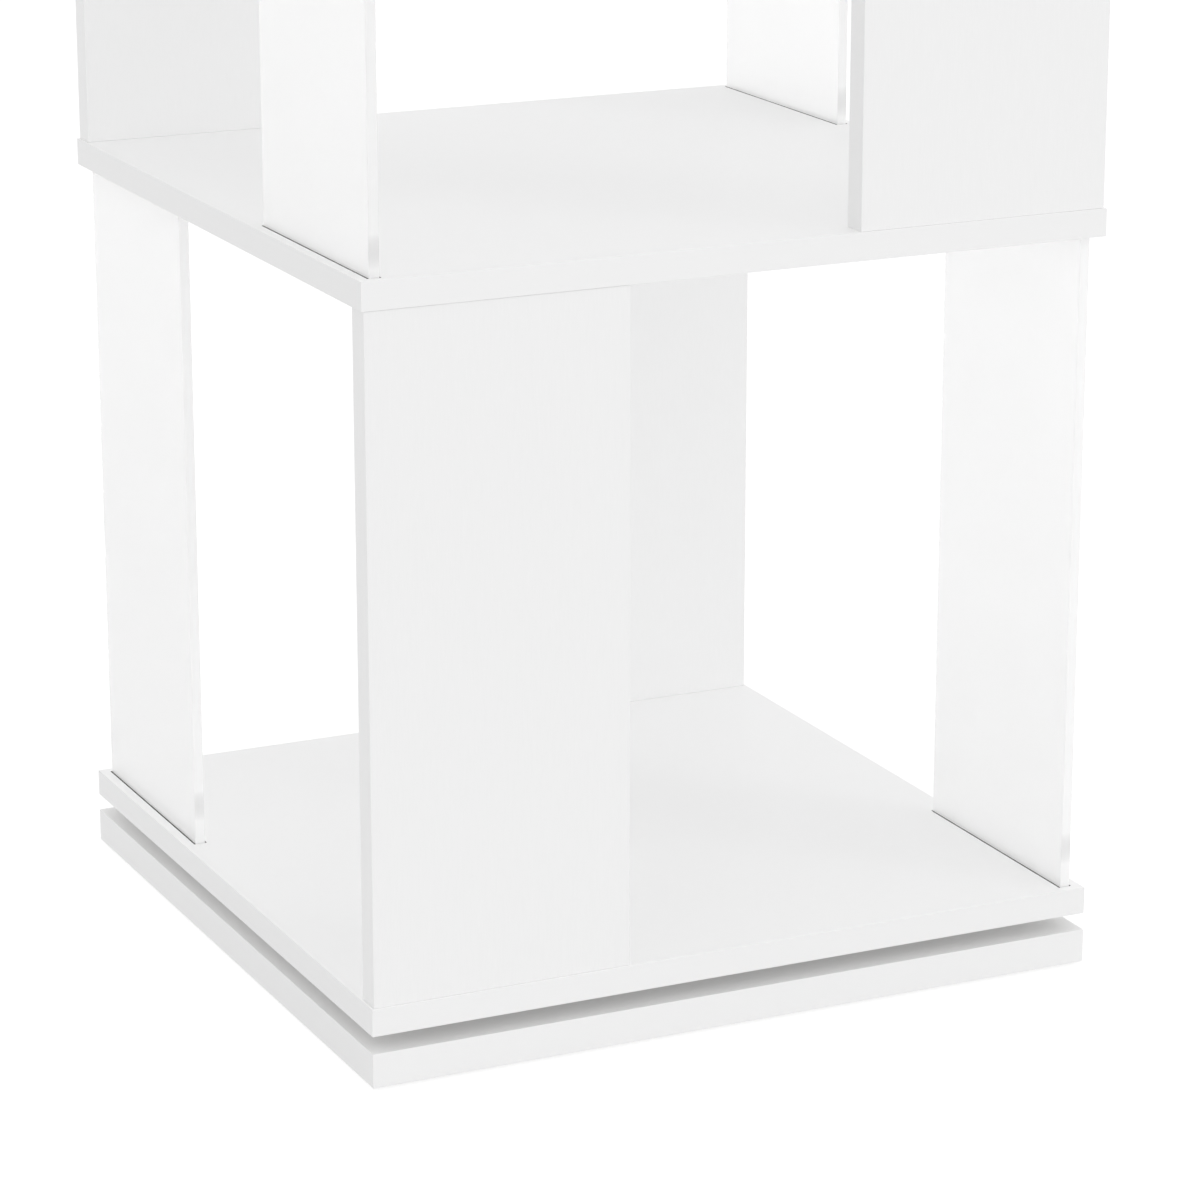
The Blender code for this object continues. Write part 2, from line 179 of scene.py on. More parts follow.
class BookcaseColours(bpy.types.PropertyGroup):
    """Colours of the finishes."""

    melamine: FloatVectorProperty(
        name="Melamine", description="White facing of the boards",
        subtype="COLOR", default=(0.880, 0.880, 0.880),
    )
    band: FloatVectorProperty(
        name="Edge band", description="White banding of the edges",
        subtype="COLOR", default=(0.876, 0.876, 0.876),
    )
    # The core's dark colour is partly raw board and partly painted shade for grooves and holes
    core: FloatVectorProperty(
        name="Core", description="Raw board inside grooves and holes",
        subtype="COLOR", default=(0.110, 0.100, 0.090),
    )
    # Grey partly for a real foil and partly as painted shade that keeps the gap under the deck dark
    gap_shade_backing: FloatVectorProperty(
        name="Backing", description="Foil under the base and the deck",
        subtype="COLOR", default=(0.560, 0.555, 0.542),
    )
    beech: FloatVectorProperty(
        name="Beech", description="Dowels",
        subtype="COLOR", default=(0.560, 0.400, 0.240),
    )
    sheet: FloatVectorProperty(
        name="Sheet", description="Milky acrylic",
        subtype="COLOR", default=(0.985, 0.985, 0.985),
    )
    sheet_opacity: FloatProperty(
        name="Sheet opacity", description="How much the clear sheets hide",
        default=0.90, min=0, max=1,
    )
    aluminium: FloatVectorProperty(
        name="Aluminium", description="Bearing rings",
        subtype="COLOR", default=(0.720, 0.730, 0.740),
    )
    zinc: FloatVectorProperty(
        name="Zinc", description="Screws",
        subtype="COLOR", default=(0.620, 0.620, 0.600),
    )
    ball_steel: FloatVectorProperty(
        name="Ball steel", description="Bearing balls",
        subtype="COLOR", default=(0.660, 0.670, 0.680),
    )
    nylon: FloatVectorProperty(
        name="Nylon", description="Ball cage",
        subtype="COLOR", default=(0.800, 0.790, 0.740),
    )
    glide: FloatVectorProperty(
        name="Glide", description="Floor glides",
        subtype="COLOR", default=(0.050, 0.050, 0.052),
    )


class StudioLight(bpy.types.PropertyGroup):
    """Levels of the studio's light, where 1 shows a white face as white."""

    sky: FloatProperty(
        name="Sky", description="Even light from all round",
        default=0.795, min=0,
    )
    key: FloatProperty(
        name="Key", description="Soft light from the front right",
        default=0.050, min=0,
    )
    front_fill: FloatProperty(
        name="Front fill", description="Shadowless light from the front",
        default=0.162, min=0,
    )
    left_fill: FloatProperty(
        name="Left fill", description="Shadowless light from the left",
        default=0.048, min=0,
    )
    top_fill: FloatProperty(
        name="Top fill", description="Shadowless light from above",
        default=0.138, min=0,
    )
    back_fill: FloatProperty(
        name="Back fill", description="Shadowless light from behind",
        default=0.200, min=0,
    )
    floor: FloatVectorProperty(
        name="Floor", description="Floor colour", subtype="COLOR",
        default=(0.80, 0.80, 0.80),
    )


class Shade:
    """A shader socket. Arithmetic on it adds Math nodes, and node adds any other node."""

    def __init__(self, tree, socket=None):
        self.tree = tree
        self.socket = socket

    def node(self, kind, settings=None, sockets=None, output=0):
        """Adds a node, sets its settings, feeds its sockets and returns one of its outputs."""
        made = self.tree.nodes.new(kind)
        for name, value in (settings or {}).items():
            if name == "stops":
                self.set_stops(made.color_ramp, value)
            else:
                setattr(made, name, value)
        for name, value in (sockets or {}).items():
            self.feed(made.inputs[name], value)
        return Shade(self.tree, made.outputs[output] if made.outputs else None)

    def feed(self, socket, value):
        """Links a socket to another shade, or sets its value."""
        if isinstance(value, Shade):
            self.tree.links.new(value.socket, socket)
        elif socket.type == "RGBA" and len(value) == 3:
            socket.default_value = (*value, 1.0)
        else:
            socket.default_value = value

    @staticmethod
    def set_stops(ramp, stops):
        """Gives a colour ramp its positions and greys."""
        while len(ramp.elements) < len(stops):
            ramp.elements.new(1.0)
        for element, (position, grey) in zip(ramp.elements, stops):
            element.position = position
            element.color = (grey, grey, grey, 1.0)

    def maths(self, operation, first, second=0.0):
        return self.node("ShaderNodeMath", {"operation": operation}, {0: first, 1: second})

    def __add__(self, other):
        return self.maths("ADD", self, other)

    __radd__ = __add__

    def __sub__(self, other):
        return self.maths("SUBTRACT", self, other)

    def __rsub__(self, other):
        return self.maths("SUBTRACT", other, self)

    def __mul__(self, other):
        return self.maths("MULTIPLY", self, other)

    __rmul__ = __mul__

    def __truediv__(self, other):
        return self.maths("DIVIDE", self, other)

    def __rtruediv__(self, other):
        return self.maths("DIVIDE", other, self)

    def point(self):
        """The point of the surface, in metres."""
        return self.node("ShaderNodeTexCoord", output="Object")

    def height(self):
        """The point's height above the floor."""
        return self.node("ShaderNodeSeparateXYZ", None, {"Vector": self.point()}, output="Z")

    def noise(self, stretch, detail=2.0, roughness=0.5):
        """Noise from 0 to 1, with a number of lumps to the metre along each axis."""
        lumps = self.node(
            "ShaderNodeMapping", {"vector_type": "POINT"}, {"Vector": self.point(), "Scale": stretch}
        )
        sockets = {"Vector": lumps, "Scale": 1.0, "Detail": detail, "Roughness": roughness}
        return self.node("ShaderNodeTexNoise", None, sockets)

    def even_noise(self, lumps, detail=2.0, roughness=0.5):
        return self.noise((lumps, lumps, lumps), detail, roughness)

    def ramp(self, *stops):
        """Passes the shade through a ramp of positions and greys."""
        return self.node("ShaderNodeValToRGB", {"stops": stops}, {"Fac": self})

    def blend(self, factor, first, second):
        """The first colour where the factor is 0, and the second where it is 1."""
        return self.node(
            "ShaderNodeMix", {"data_type": "RGBA"}, {"Factor": factor, 6: first, 7: second}, output=2
        )

    def bump(self, height, distance, strength=1.0):
        sockets = {"Height": height, "Distance": distance, "Strength": strength}
        return self.node("ShaderNodeBump", None, sockets)


def new_material(name):
    """A Principled material, its shader's sockets, and a shade to build on."""
    material = bpy.data.materials.new(name)
    material.use_nodes = True
    tree = material.node_tree
    return material, tree.nodes["Principled BSDF"].inputs, Shade(tree)


def tint(colour, factor):
    return tuple(min(1.0, channel * factor) for channel in colour)


def melamine_material(name, colour, grain):
    """White melamine: a satin film pressed with fine pores that run along the grain."""
    material, sockets, shade = new_material(name)
    along, across = 90.0, 2600.0
    pores = shade.noise([along if grain[axis] else across for axis in range(3)], 3.0, 0.6)
    cloud = shade.even_noise(9.0)
    paper = shade.blend(pores.ramp((0.40, 0.0), (0.62, 1.0)), tint(colour, 0.988), tint(colour, 1.006))
    shade.feed(sockets["Base Color"], shade.blend(cloud * 0.5, paper, tint(colour, 0.996)))
    shade.feed(sockets["Roughness"], 0.36 + pores * 0.12)
    shade.feed(sockets["Normal"], shade.bump(pores, 0.00002, 0.35))
    sockets["Specular IOR Level"].default_value = 0.42
    return material


def band_material(name, colour):
    """The plastic edge band, a little smoother than the facing, with faint drawn streaks."""
    material, sockets, shade = new_material(name)
    streaks = shade.noise((40.0, 40.0, 3200.0))
    ripple = shade.even_noise(140.0, 1.0)
    shade.feed(sockets["Base Color"], shade.blend(streaks, tint(colour, 0.990), tint(colour, 1.006)))
    shade.feed(sockets["Roughness"], 0.30 + ripple * 0.10)
    shade.feed(sockets["Normal"], shade.bump(streaks, 0.00001, 0.3))
    sockets["Specular IOR Level"].default_value = 0.45
    return material


def gap_shade_backing_material(name, colour):
    """Plain grey foil on the faces that nobody sees, with paper fibres and a dull film; its grey is partly a
    real foil and partly painted shade that keeps light from bouncing into the gap under the deck.
    """
    material, sockets, shade = new_material(name)
    fibres = shade.even_noise(1800.0, 4.0, 0.6)
    cloud = shade.even_noise(25.0, 3.0)
    mix = fibres * 0.5 + cloud * 0.5
    shade.feed(sockets["Base Color"], shade.blend(mix, tint(colour, 0.86), tint(colour, 1.16)))
    shade.feed(sockets["Roughness"], 0.62 + fibres * 0.15)
    shade.feed(sockets["Normal"], shade.bump(fibres, 0.00002, 0.4))
    return material


def shaded_core_material(name, colour):
    """Raw pressed board inside grooves and holes: chips in a resin, painted darker than raw board as shade,
    so that grooves and holes read dark.
    """
    material, sockets, shade = new_material(name)
    chips = shade.node(
        "ShaderNodeTexVoronoi", None, {"Vector": shade.point(), "Scale": 700.0}, output="Distance"
    )
    dust = shade.even_noise(3000.0, 3.0)
    shade.feed(sockets["Base Color"], shade.blend(chips * dust * 2.0, tint(colour, 0.7), tint(colour, 1.6)))
    shade.feed(sockets["Normal"], shade.bump(chips + dust, 0.0002, 0.6))
    sockets["Roughness"].default_value = 0.9
    return material


def beech_material(name, colour):
    """Dowel wood, with fibres along the dowel."""
    material, sockets, shade = new_material(name)
    fibres = shade.noise((1800.0, 1800.0, 120.0), 4.0, 0.65)
    shade.feed(sockets["Base Color"], shade.blend(fibres, tint(colour, 0.78), tint(colour, 1.15)))
    shade.feed(sockets["Normal"], shade.bump(fibres, 0.00006, 0.5))
    sockets["Roughness"].default_value = 0.62
    return material


def acrylic_material(name, colour, opacity, glow, groove_view_tint, groove_shade_tint):
    """Acrylic with a milky veil: bright, glowing with the light behind it, and painted dark as shade where
    it stands in a groove.

    A faint dark spot of painted shade stands for the dark groove seen through the foot of a sheet, lower in
    each tier than in the last.
    The sheets above the bottom tier are painted a touch darker, as painted shade that evens out the brighter
    light they get.
    """
    material, sockets, shade = new_material(name)
    deck_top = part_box("bottom_deck")[1].z
    shelf_low, shelf_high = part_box("shelf_1")
    pitch = shelf_high.z - deck_top
    tiers_up = (shade.height() - deck_top) / pitch
    height = tiers_up.maths("FRACT", tiers_up) * pitch
    # The second number darkens the sheets of the upper tiers as painted shade
    lip, upper_tier_shade = 0.0015, 0.950
    # Painted shade: where the dark groove is seen through a sheet's foot, as a height in the bottom tier, a
    # drop per tier and a reach
    first_patch, patch_drop, patch_reach = 0.0237, 0.0098, 0.0095
    # Painted shade: the sheet is darkened for a lip's height where it stands in a groove, since the
    # shadowless fills would light the groove
    under_foot = height.maths("GREATER_THAN", height, pitch - lip)
    over_head = height.maths("GREATER_THAN", height, shelf_low.z - deck_top)
    past_head = height.maths("GREATER_THAN", height, shelf_low.z - deck_top + lip)
    groove_shade_band = under_foot + over_head - past_head
    patch_height = first_patch - patch_drop * tiers_up.maths("FLOOR", tiers_up)
    from_patch = (height - patch_height) / patch_reach
    groove_view_shade = from_patch.maths("MAXIMUM", 1.0 - from_patch * from_patch, 0.0)
    veil = shade.blend(shade.even_noise(14.0), tint(colour, 0.994), tint(colour, 1.004))
    groove_view_shaded = shade.blend(groove_view_shade, veil, tint(colour, groove_view_tint))
    groove_shaded = shade.blend(groove_shade_band, groove_view_shaded, tint(colour, groove_shade_tint))
    # Painted shade: sheets above the bottom tier are darkened to even out the brighter light round them
    upper_tier = tiers_up.maths("GREATER_THAN", tiers_up, 1.0)
    tier_shaded = shade.node(
        "ShaderNodeMix",
        {"data_type": "RGBA", "blend_type": "MULTIPLY"},
        {"Factor": upper_tier, 6: groove_shaded, 7: (upper_tier_shade, upper_tier_shade, upper_tier_shade)},
        output=2,
    )
    shade.feed(sockets["Base Color"], tier_shaded)
    shade.feed(sockets["Roughness"], 0.78 + shade.even_noise(60.0) * 0.05)
    sockets["Alpha"].default_value = opacity
    sockets["IOR"].default_value = 1.49
    sockets["Coat Weight"].default_value = 0.5
    sockets["Coat Roughness"].default_value = 0.12
    sockets["Transmission Weight"].default_value = glow
    return material


def aluminium_material(name, colour):
    """Turned aluminium: fine rings left by the tool, centred on the swivel's axis."""
    material, sockets, shade = new_material(name)
    level = {0: shade.point(), 1: (1.0, 1.0, 0.0)}
    flat = shade.node("ShaderNodeVectorMath", {"operation": "MULTIPLY"}, level)
    radius = shade.node("ShaderNodeVectorMath", {"operation": "LENGTH"}, {0: flat}, output="Value")
    rings = shade.node(
        "ShaderNodeTexNoise", {"noise_dimensions": "1D"}, {"W": radius, "Scale": 4200.0, "Detail": 2.0}
    )
    shade.feed(sockets["Base Color"], shade.blend(rings, tint(colour, 0.92), tint(colour, 1.04)))
    shade.feed(sockets["Roughness"], 0.24 + rings * 0.16)
    shade.feed(sockets["Normal"], shade.bump(rings, 0.00001, 0.5))
    sockets["Metallic"].default_value = 1.0
    return material


def steel_material(name, colour, roughness, mottle):
    """Plated or polished steel with faint mottling."""
    material, sockets, shade = new_material(name)
    patches = shade.even_noise(mottle, 3.0)
    shade.feed(sockets["Base Color"], shade.blend(patches, tint(colour, 0.93), tint(colour, 1.05)))
    shade.feed(sockets["Roughness"], roughness + patches * 0.08)
    sockets["Metallic"].default_value = 1.0
    return material


def plastic_material(name, colour, roughness, texture):
    """Moulded plastic with the fine texture of its mould."""
    material, sockets, shade = new_material(name)
    pits = shade.even_noise(texture, 3.0, 0.6)
    shade.feed(sockets["Base Color"], shade.blend(pits, tint(colour, 0.94), tint(colour, 1.05)))
    shade.feed(sockets["Roughness"], roughness + pits * 0.12)
    shade.feed(sockets["Normal"], shade.bump(pits, 0.00003, 0.4))
    return material


def finish_named(name):
    """A finish of the bookcase, made when it is first asked for."""
    made = bpy.data.materials.get(name)
    if made:
        return made
    colours = bpy.context.scene.bookcase_colours
    makers = {
        "melamine_board": lambda: melamine_material(name, colours.melamine, ALONG_X),
        "melamine_upright": lambda: melamine_material(name, colours.melamine, ALONG_Z),
        "edge_band": lambda: band_material(name, colours.band),
        "gap_shade_backing_foil": lambda: gap_shade_backing_material(name, colours.gap_shade_backing),
        "shaded_raw_core": lambda: shaded_core_material(name, colours.core),
        "beech_dowel": lambda: beech_material(name, colours.beech),
        # The last tint of each finish paints shade on the sheet where it stands in a groove
        "milky_acrylic": lambda: acrylic_material(
            name, colours.sheet, colours.sheet_opacity, glow=0.23, groove_view_tint=1.0, groove_shade_tint=0.10
        ),
        # On the polished edges, the groove seen through the foot is painted as a dark spot of shade
        "polished_acrylic_edge": lambda: acrylic_material(
            name, tint(colours.sheet, 0.99), 0.92, glow=0.085, groove_view_tint=0.84, groove_shade_tint=0.90
        ),
        "turned_aluminium": lambda: aluminium_material(name, colours.aluminium),
        "zinc_plate": lambda: steel_material(name, colours.zinc, 0.30, 900.0),
        "ball_steel": lambda: steel_material(name, colours.ball_steel, 0.08, 500.0),
        "natural_nylon": lambda: plastic_material(name, colours.nylon, 0.42, 900.0),
        "dark_plastic": lambda: plastic_material(name, colours.glide, 0.45, 1500.0),
    }
    return makers[name]()


def ray_mask(shade):
    """1 for rays that reach the camera straight, by a mirror reflection or through a clear piece."""
    straight = shade.node("ShaderNodeLightPath", output="Is Camera Ray")
    mirrored = shade.node("ShaderNodeLightPath", output="Is Glossy Ray")
    through = shade.node("ShaderNodeLightPath", output="Is Transmission Ray")
    return shade.maths("MAXIMUM", shade.maths("MAXIMUM", straight, mirrored), through)


def deselect_all():
    bpy.ops.object.select_all(action="DESELECT")


def make_active(piece):
    deselect_all()
    piece.select_set(True)
    bpy.context.view_layer.objects.active = piece


def settle(piece, name):
    """Names a piece and puts its place into its mesh."""
    piece.name = name
    piece.data.name = name
    make_active(piece)
    bpy.ops.object.transform_apply(location=True, rotation=True, scale=True)
    return piece


def add_block(name, low, high):
    deselect_all()
    centre = (Vector(low) + Vector(high)) / 2
    bpy.ops.mesh.primitive_cube_add(size=1, location=centre, scale=Vector(high) - Vector(low))
    return settle(bpy.context.object, name)


def add_cylinder(name, radius, centre, depth, sides, turn=(0, 0, 0)):
    deselect_all()
    bpy.ops.mesh.primitive_cylinder_add(
        vertices=sides, radius=radius, depth=depth, location=centre, rotation=turn
    )
    return settle(bpy.context.object, name)


def add_post(name, radius, place, bottom, top, sides=HOLE_SIDES):
    """An upright cylinder between two heights."""
    return add_cylinder(name, radius, (place.x, place.y, (bottom + top) / 2), top - bottom, sides)


def add_cone(name, bottom_radius, top_radius, place, bottom, top):
    """An upright cone with its tip cut off, between two heights."""
    deselect_all()
    bpy.ops.mesh.primitive_cone_add(
        vertices=HOLE_SIDES,
        radius1=bottom_radius,
        radius2=top_radius,
        depth=top - bottom,
        location=(place.x, place.y, (bottom + top) / 2),
    )
    return settle(bpy.context.object, name)


def copy_piece(piece, name, move, turn=None):
    """A copy of a piece with its own mesh, turned and then moved."""
    copy = piece.copy()
    copy.data = piece.data.copy()
    bpy.context.scene.collection.objects.link(copy)
    copy.matrix_world = Matrix.Translation(move) @ (turn or Matrix.Identity(4))
    return settle(copy, name)


def join_pieces(pieces):
    """Makes one object of several."""
    make_active(pieces[0])
    for piece in pieces[1:]:
        piece.select_set(True)
    if len(pieces) > 1:
        bpy.ops.object.join()
    return pieces[0]


def edit(piece):
    """Opens a piece in edit mode."""
    make_active(piece)
    bpy.ops.object.mode_set(mode="EDIT")
    bpy.ops.mesh.select_mode(type="FACE")


def stop_editing():
    bpy.ops.object.mode_set(mode="OBJECT")


def pick(piece, kind, test):
    """Selects the faces, edges or points that pass a test, in edit mode."""
    bpy.ops.mesh.select_mode(type=kind)
    bpy.ops.mesh.select_all(action="DESELECT")
    shape = bmesh.from_edit_mesh(piece.data)
    for part in {"FACE": shape.faces, "EDGE": shape.edges, "VERT": shape.verts}[kind]:
        part.select_set(bool(test(part)))
    bmesh.update_edit_mesh(piece.data)


def largest_facing(piece, direction, opposite=True):
    """A test for the largest faces that look along a direction or, if asked for, along its opposite."""

    def looks_along(face):
        along = face.normal.dot(direction)
        return (abs(along) if opposite else along) > FLAT_ALONG

    shape = bmesh.from_edit_mesh(piece.data)
    limit = max(face.calc_area() for face in shape.faces if looks_along(face)) * 0.5
    return lambda face: looks_along(face) and face.calc_area() > limit


def round_edges(radius):
    """Rounds every edge of the piece in edit mode."""
    bpy.ops.mesh.select_all(action="SELECT")
    bpy.ops.mesh.bevel(offset=radius, segments=ARRIS_SEGMENTS, affect="EDGES")


def draw_out(length, scale, middle):
    """Extrudes the picked face up or down, and widens or narrows its new end about an upright axis."""
    bpy.ops.mesh.extrude_region_move(TRANSFORM_OT_translate={"value": (0, 0, length)})
    bpy.ops.transform.resize(value=(scale, scale, 1), center_override=(middle.x, middle.y, 0))


def assign_picked(piece, number):
    """Gives the picked faces a piece's finish of that number."""
    piece.active_material_index = number
    bpy.ops.object.material_slot_assign()


def set_finishes(piece, *names):
    piece.data.materials.clear()
    for name in names:
        piece.data.materials.append(finish_named(name))


def combine(piece, helper, operation):
    """Cuts a helper out of a piece, or joins it on, and removes the helper."""
    make_active(piece)
    modifier = piece.modifiers.new("Combine", "BOOLEAN")
    modifier.operation = operation
    modifier.solver = "EXACT"
    modifier.material_mode = "TRANSFER"
    modifier.object = helper
    bpy.ops.object.modifier_apply(modifier=modifier.name)
    bpy.data.objects.remove(helper, do_unlink=True)


def smooth(piece):
    """Shades round faces smoothly and leaves flat ones flat."""
    make_active(piece)
    bpy.ops.object.shade_smooth_by_angle(angle=SMOOTH_ANGLE)
    modifier = piece.modifiers.new("Even shading", "WEIGHTED_NORMAL")
    modifier.keep_sharp = True
    bpy.ops.object.modifier_apply(modifier=modifier.name)
    deselect_all()
    return piece


def declare(piece, body, node):
    """Gives a piece its body and hides the node that it stands for."""
    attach(piece, body)
    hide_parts(node)


def declare_copies(model, nodes, name_of, body, turns=None):
    start = middle_of(nodes[0])
    for number, node in enumerate(nodes[1:], 1):
        place = middle_of(node)
        turn = None
        if turns:
            about_z = Matrix.Rotation(turns[number], 4, "Z")
            turn = Matrix.Translation(start) @ about_z @ Matrix.Translation(-start)
        declare(copy_piece(model, name_of(node), place - start, turn), body, node)
    declare(model, body, nodes[0])


def middle_of(node):
    low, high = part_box(node)
    return (low + high) / 2


def is_between(node, board):
    """Whether a node reaches into a board."""
    low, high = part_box(node)
    board_low, board_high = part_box(board)
    return low.z < board_high.z and board_low.z < high.z


def recess_heights(node, board, gap):
    """The lowest and highest point of the recess that a node's end needs in a board."""
    low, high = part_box(node)
    board_low, board_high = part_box(board)
    if low.z > board_low.z:
        return low.z - gap, board_high.z + OVERRUN
    return board_low.z - OVERRUN, high.z + gap


def groove_cutters(board, sizes):
    """Cutters for the grooves that hold the clear sheets above and below a board."""
    cutters = []
    for sheet in SHEETS:
        if is_between(sheet, board):
            low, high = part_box(sheet)
            bottom, top = recess_heights(sheet, board, sizes.seat_gap)
            play = Vector((sizes.groove_gap, sizes.seat_gap, 0))
            low, high = low - play, high + play
            cutters.append(add_block("groove", (low.x, low.y, bottom), (high.x, high.y, top)))
    return cutters


def dowel_places(upright, sizes):
    """Where the two dowels at each end of a white upright stand in plan."""
    low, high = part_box(upright)
    middle = (low.y + high.y) / 2
    return [Vector((low.x + sizes.dowel_inset, middle, 0)), Vector((high.x - sizes.dowel_inset, middle, 0))]


def dowel_cutters(board, sizes):
    """Cutters for the holes of the dowels above and below a board."""
    cutters = []
    radius = sizes.dowel_diameter / 2 + sizes.seat_gap
    for upright in WHITE_UPRIGHTS:
        if is_between(upright, board):
            bottom, top = recess_heights(upright, board, sizes.seat_gap)
            for place in dowel_places(upright, sizes):
                cutters.append(add_post("dowel_hole", radius, place, bottom, top))
    return cutters


def pilot_cutters(screws, shift):
    """Cutters for the screws' holes, as long as the screws and moved up or down."""
    cutters = []
    for screw in screws:
        low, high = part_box(screw)
        cutters.append(add_post("pilot_hole", SCREW_HOLE, middle_of(screw), low.z + shift, high.z + shift))
    return cutters


def banded_board(name, node, cutters, sizes, backed=False):
    """A board with rounded edges, a band round its sides, grooves, holes and, if asked for, a grey foil
    underneath that is partly painted shade for the gap under the deck.
    """
    board = add_block(name, *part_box(node))
    set_finishes(board, "edge_band", "melamine_board", "gap_shade_backing_foil")
    edit(board)
    round_edges(sizes.board_arris)
    pick(board, "FACE", largest_facing(board, ALONG_Z))
    bpy.ops.mesh.inset(thickness=sizes.band_thickness - sizes.board_arris, depth=0)
    bpy.ops.mesh.inset(thickness=sizes.glue_line_width / 2, depth=-sizes.glue_line_depth)
    bpy.ops.mesh.inset(thickness=sizes.glue_line_width / 2, depth=sizes.glue_line_depth)
    assign_picked(board, 1)
    if backed:
        pick(board, "FACE", largest_facing(board, -ALONG_Z, opposite=False))
        assign_picked(board, 2)
    stop_editing()
    helper = join_pieces(cutters)
    set_finishes(helper, "shaded_raw_core")
    combine(board, helper, "DIFFERENCE")
    return smooth(board)


class BOOKCASE_OT_make_base(bpy.types.Operator):
    """Make the base plate, with the holes for its screws and glides and for the screwdriver"""

    bl_idname = "bookcase.make_base"
    bl_label = "Base plate"

    def execute(self, context):
        sizes = context.scene.bookcase_sizes
        low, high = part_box("base_plate")
        cutters = pilot_cutters(OUTER_SCREWS, -sizes.seat_gap)
        access, screw = sizes.access_hole / 2, middle_of(INNER_SCREWS[0])
        cutters.append(add_post("access", access, screw, low.z - OVERRUN, high.z + OVERRUN))
        for glide in GLIDES:
            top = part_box(glide)[1].z + sizes.seat_gap
            cutters.append(add_post("stem_hole", STEM_HOLE, middle_of(glide), low.z - OVERRUN, top))
        board = banded_board("base_plate_banded", "base_plate", cutters, sizes, backed=True)
        declare(board, "base", "base_plate")
        return {"FINISHED"}


class BOOKCASE_OT_make_shelves(bpy.types.Operator):
    """Make the deck, the shelves and the top board, with their grooves and dowel holes"""

    bl_idname = "bookcase.make_shelves"
    bl_label = "Deck, shelves and top board"

    def execute(self, context):
        sizes = context.scene.bookcase_sizes
        for node in ("bottom_deck", "shelf_1", "shelf_2", "top_board"):
            cutters = groove_cutters(node, sizes) + dowel_cutters(node, sizes)
            if node == "bottom_deck":
                cutters += pilot_cutters(INNER_SCREWS, sizes.seat_gap)
            board = banded_board(f"{node}_banded", node, cutters, sizes, backed=node == "bottom_deck")
            if node == "shelf_1":
                rise = middle_of("shelf_3") - middle_of("shelf_1")
                declare(copy_piece(board, "shelf_3_banded", rise), "tower", "shelf_3")
            declare(board, "tower", node)
        return {"FINISHED"}


class BOOKCASE_OT_make_white_uprights(bpy.types.Operator):
    """Make the white uprights with their glued dowels"""

    bl_idname = "bookcase.make_white_uprights"
    bl_label = "White uprights"

    def execute(self, context):
        sizes = context.scene.bookcase_sizes
        node = WHITE_UPRIGHTS[0]
        low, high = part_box(node)
        foot = low.z + sizes.dowel_in_board - sizes.seat_gap + sizes.foot_gap
        head = high.z - sizes.dowel_in_board
        upright = add_block(self.name_of(node), (low.x, low.y, foot), (high.x, high.y, head))
        set_finishes(upright, "edge_band", "melamine_upright")
        edit(upright)
        pick(upright, "EDGE", lambda edge: abs(edge.verts[0].co.z - edge.verts[1].co.z) > NEAR)
        bpy.ops.mesh.bevel(offset=sizes.upright_arris, segments=ARRIS_SEGMENTS, affect="EDGES")
        self.press_glue_lines(upright, low, high, sizes)
        stop_editing()
        dowels = []
        for place in dowel_places(node, sizes):
            dowels.append(self.dowel(place, low.z, foot + sizes.dowel_in_upright, sizes))
            dowels.append(self.dowel(place, head - sizes.dowel_in_upright, high.z, sizes))
        helper = join_pieces(dowels)
        set_finishes(helper, "beech_dowel")
        combine(upright, helper, "UNION")
        smooth(upright)
        declare_copies(upright, WHITE_UPRIGHTS, self.name_of, "tower")
        return {"FINISHED"}

    @staticmethod
    def name_of(node):
        return node.replace("panel", "upright")

    @staticmethod
    def press_glue_lines(upright, low, high, sizes):
        """Sinks a fine line between the facing and the band on both faces, and picks out the facing."""
        lines = (low.x + sizes.band_thickness, high.x - sizes.band_thickness)
        for line in lines:
            for offset in (-sizes.glue_line_width / 2, 0.0, sizes.glue_line_width / 2):
                bpy.ops.mesh.select_all(action="SELECT")
                bpy.ops.mesh.bisect(plane_co=(line + offset, 0, 0), plane_no=ALONG_X)
        middle = (low.y + high.y) / 2
        thickness = high.y - low.y

        def in_line(point):
            on_face = abs(abs(point.co.y - middle) - thickness / 2) < NEAR
            return on_face and min(abs(point.co.x - line) for line in lines) < NEAR

        def on_facing(face):
            place = face.calc_center_median()
            return abs(face.normal.y) > FLAT_ALONG and lines[0] < place.x < lines[1]

        pick(upright, "VERT", in_line)
        shrink = 1 - 2 * sizes.glue_line_depth / thickness
        bpy.ops.transform.resize(value=(1, shrink, 1), center_override=(0, middle, 0))
        pick(upright, "FACE", on_facing)
        assign_picked(upright, 1)

    @staticmethod
    def dowel(place, bottom, top, sizes):
        """A dowel with chamfered ends and flutes for the glue."""
        radius, chamfer = sizes.dowel_diameter / 2, 0.0008
        dowel = add_post("dowel", radius, place, bottom, top)
        edit(dowel)
        step = math.tau / HOLE_SIDES

        def in_flute(point):
            side = point.co - place
            return round(math.atan2(side.y, side.x) / step) % 2 == 1

        pick(dowel, "VERT", in_flute)
        scale = 1 - sizes.dowel_flute / radius
        bpy.ops.transform.resize(value=(scale, scale, 1), center_override=(place.x, place.y, 0))
        pick(dowel, "FACE", lambda face: abs(face.normal.z) > TURNED_ALONG)
        bpy.ops.mesh.bevel(offset=chamfer, segments=1, affect="EDGES")
        stop_editing()
        return dowel


